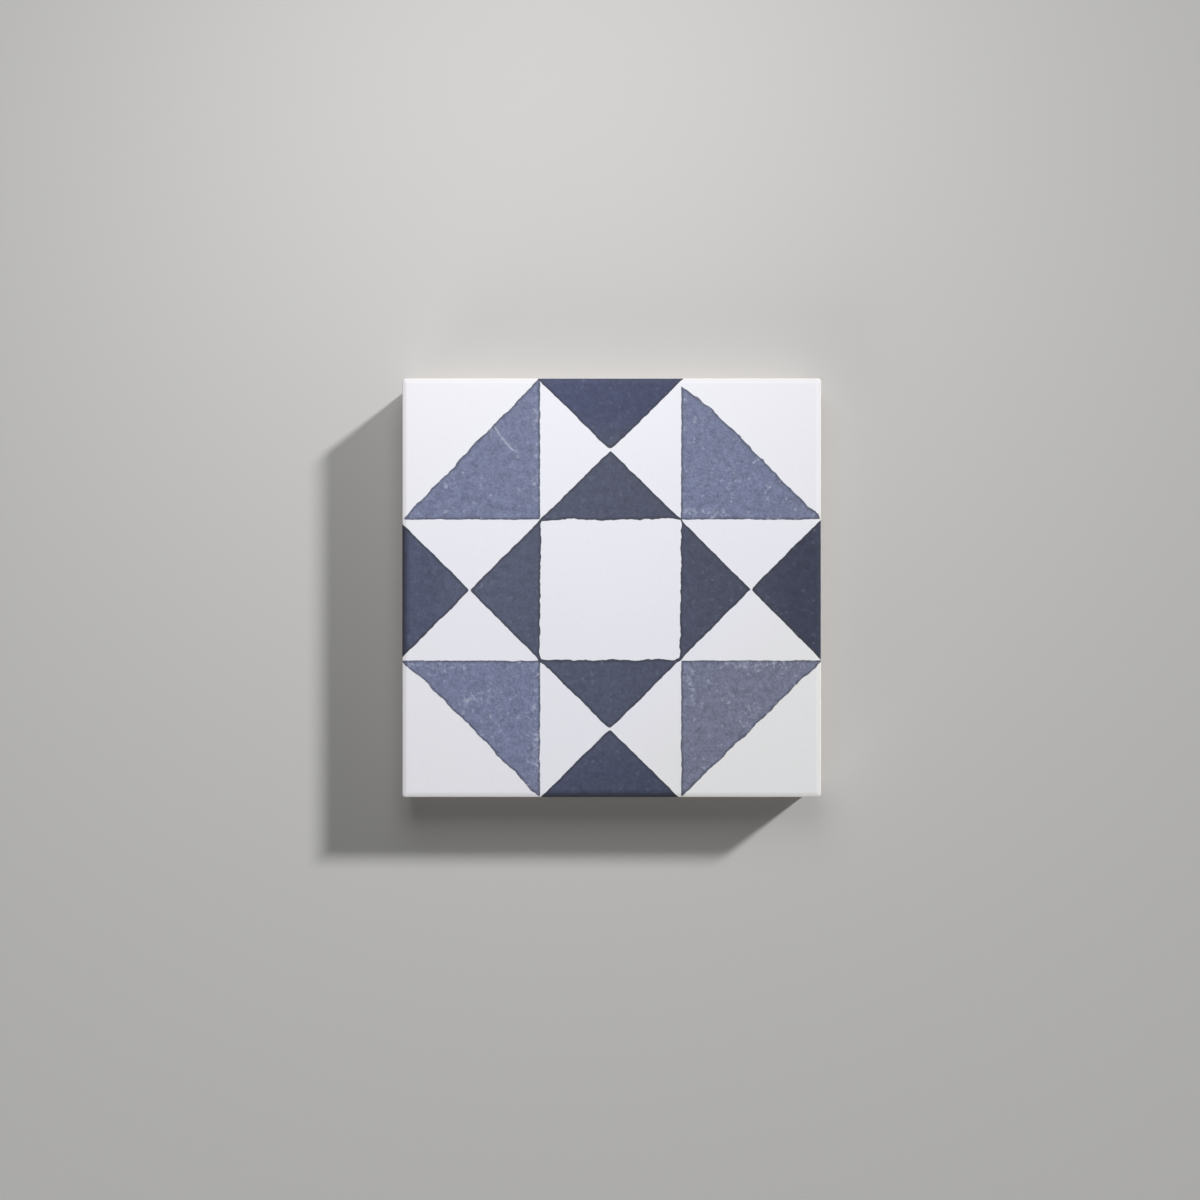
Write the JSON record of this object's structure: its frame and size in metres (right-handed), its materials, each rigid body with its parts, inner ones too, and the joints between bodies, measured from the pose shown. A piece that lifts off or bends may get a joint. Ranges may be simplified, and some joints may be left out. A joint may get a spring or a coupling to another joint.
{
  "type": "square tile",
  "caption": "Square pressed floor or wall tile with a matt geometric star print in two blues on white, rounded face edges and a keyed back for adhesive.",
  "frame": {"origin": "centre of the back, at the level on which the back's ribs and border rest", "axes": "+Z out of the decorated face, +X and +Y along two sides of the tile"},
  "size_m": [0.1, 0.1, 0.01],
  "materials": {
    "printed_porcelain": "matt glaze printed in two blues on white, bare fired body on the sides and back"
  },
  "bodies": {
    "root": {"tile": "printed_porcelain"}
  },
  "joints": []
}
